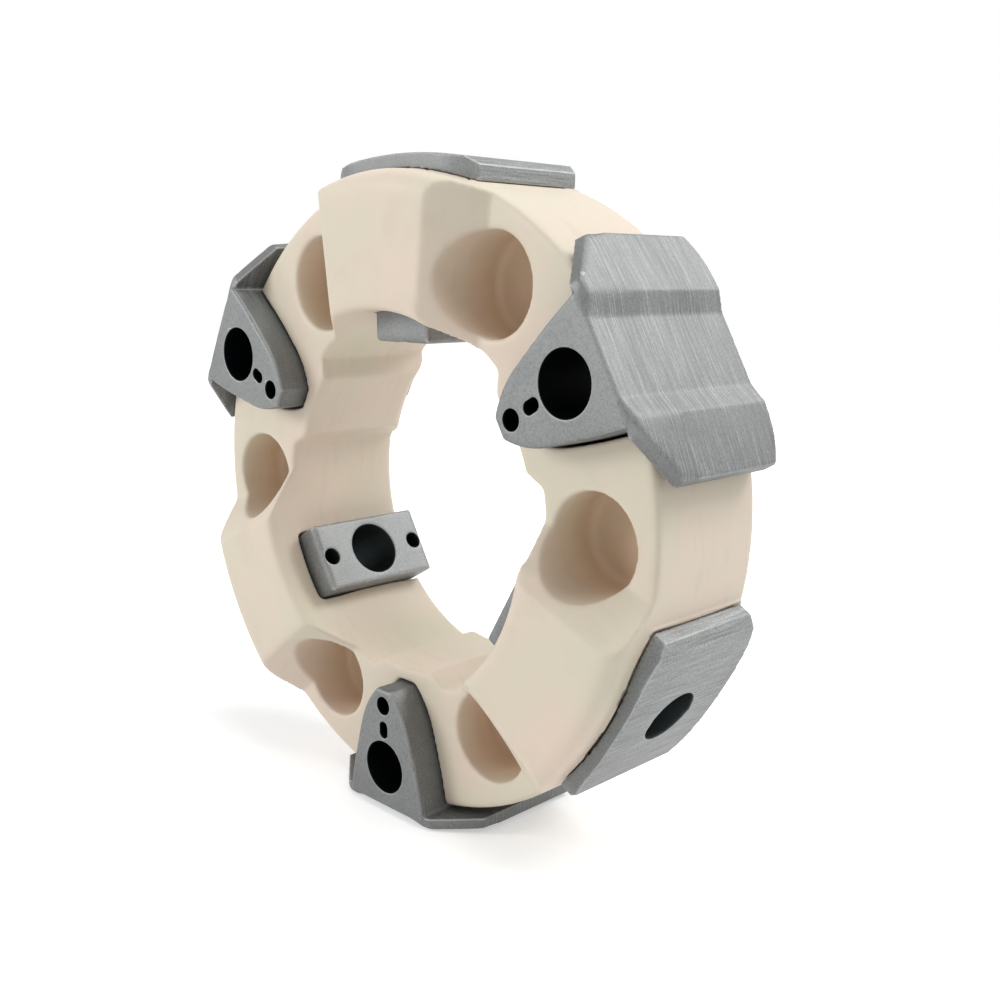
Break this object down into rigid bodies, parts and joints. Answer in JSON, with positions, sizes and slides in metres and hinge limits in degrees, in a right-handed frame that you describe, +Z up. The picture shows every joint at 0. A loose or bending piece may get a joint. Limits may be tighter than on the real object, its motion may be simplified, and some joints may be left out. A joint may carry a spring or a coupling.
{
  "type": "flexible shaft coupling",
  "caption": "Flexible shaft coupling: moulded elastomer ring with cast metal inserts for axial and radial bolts, alternating round it.",
  "frame": {"origin": "on the coupling's axis, in the mid plane of the ring, at the centre of the axial bolts' circle", "axes": "+Y along the coupling's axis, towards its back; +Z up, through the top radial insert; +X to the right seen from the front"},
  "size_m": [0.2422, 0.0695, 0.2383],
  "materials": {
    "elastomer": "satin",
    "cast_aluminium": "satin"
  },
  "bodies": {
    "root": {"elastomer_ring": "elastomer", "axial_insert_right": "cast_aluminium", "axial_insert_left": "cast_aluminium", "axial_insert_bottom": "cast_aluminium", "radial_insert_top": "cast_aluminium", "radial_insert_lower_left": "cast_aluminium", "radial_insert_lower_right": "cast_aluminium"}
  },
  "joints": []
}
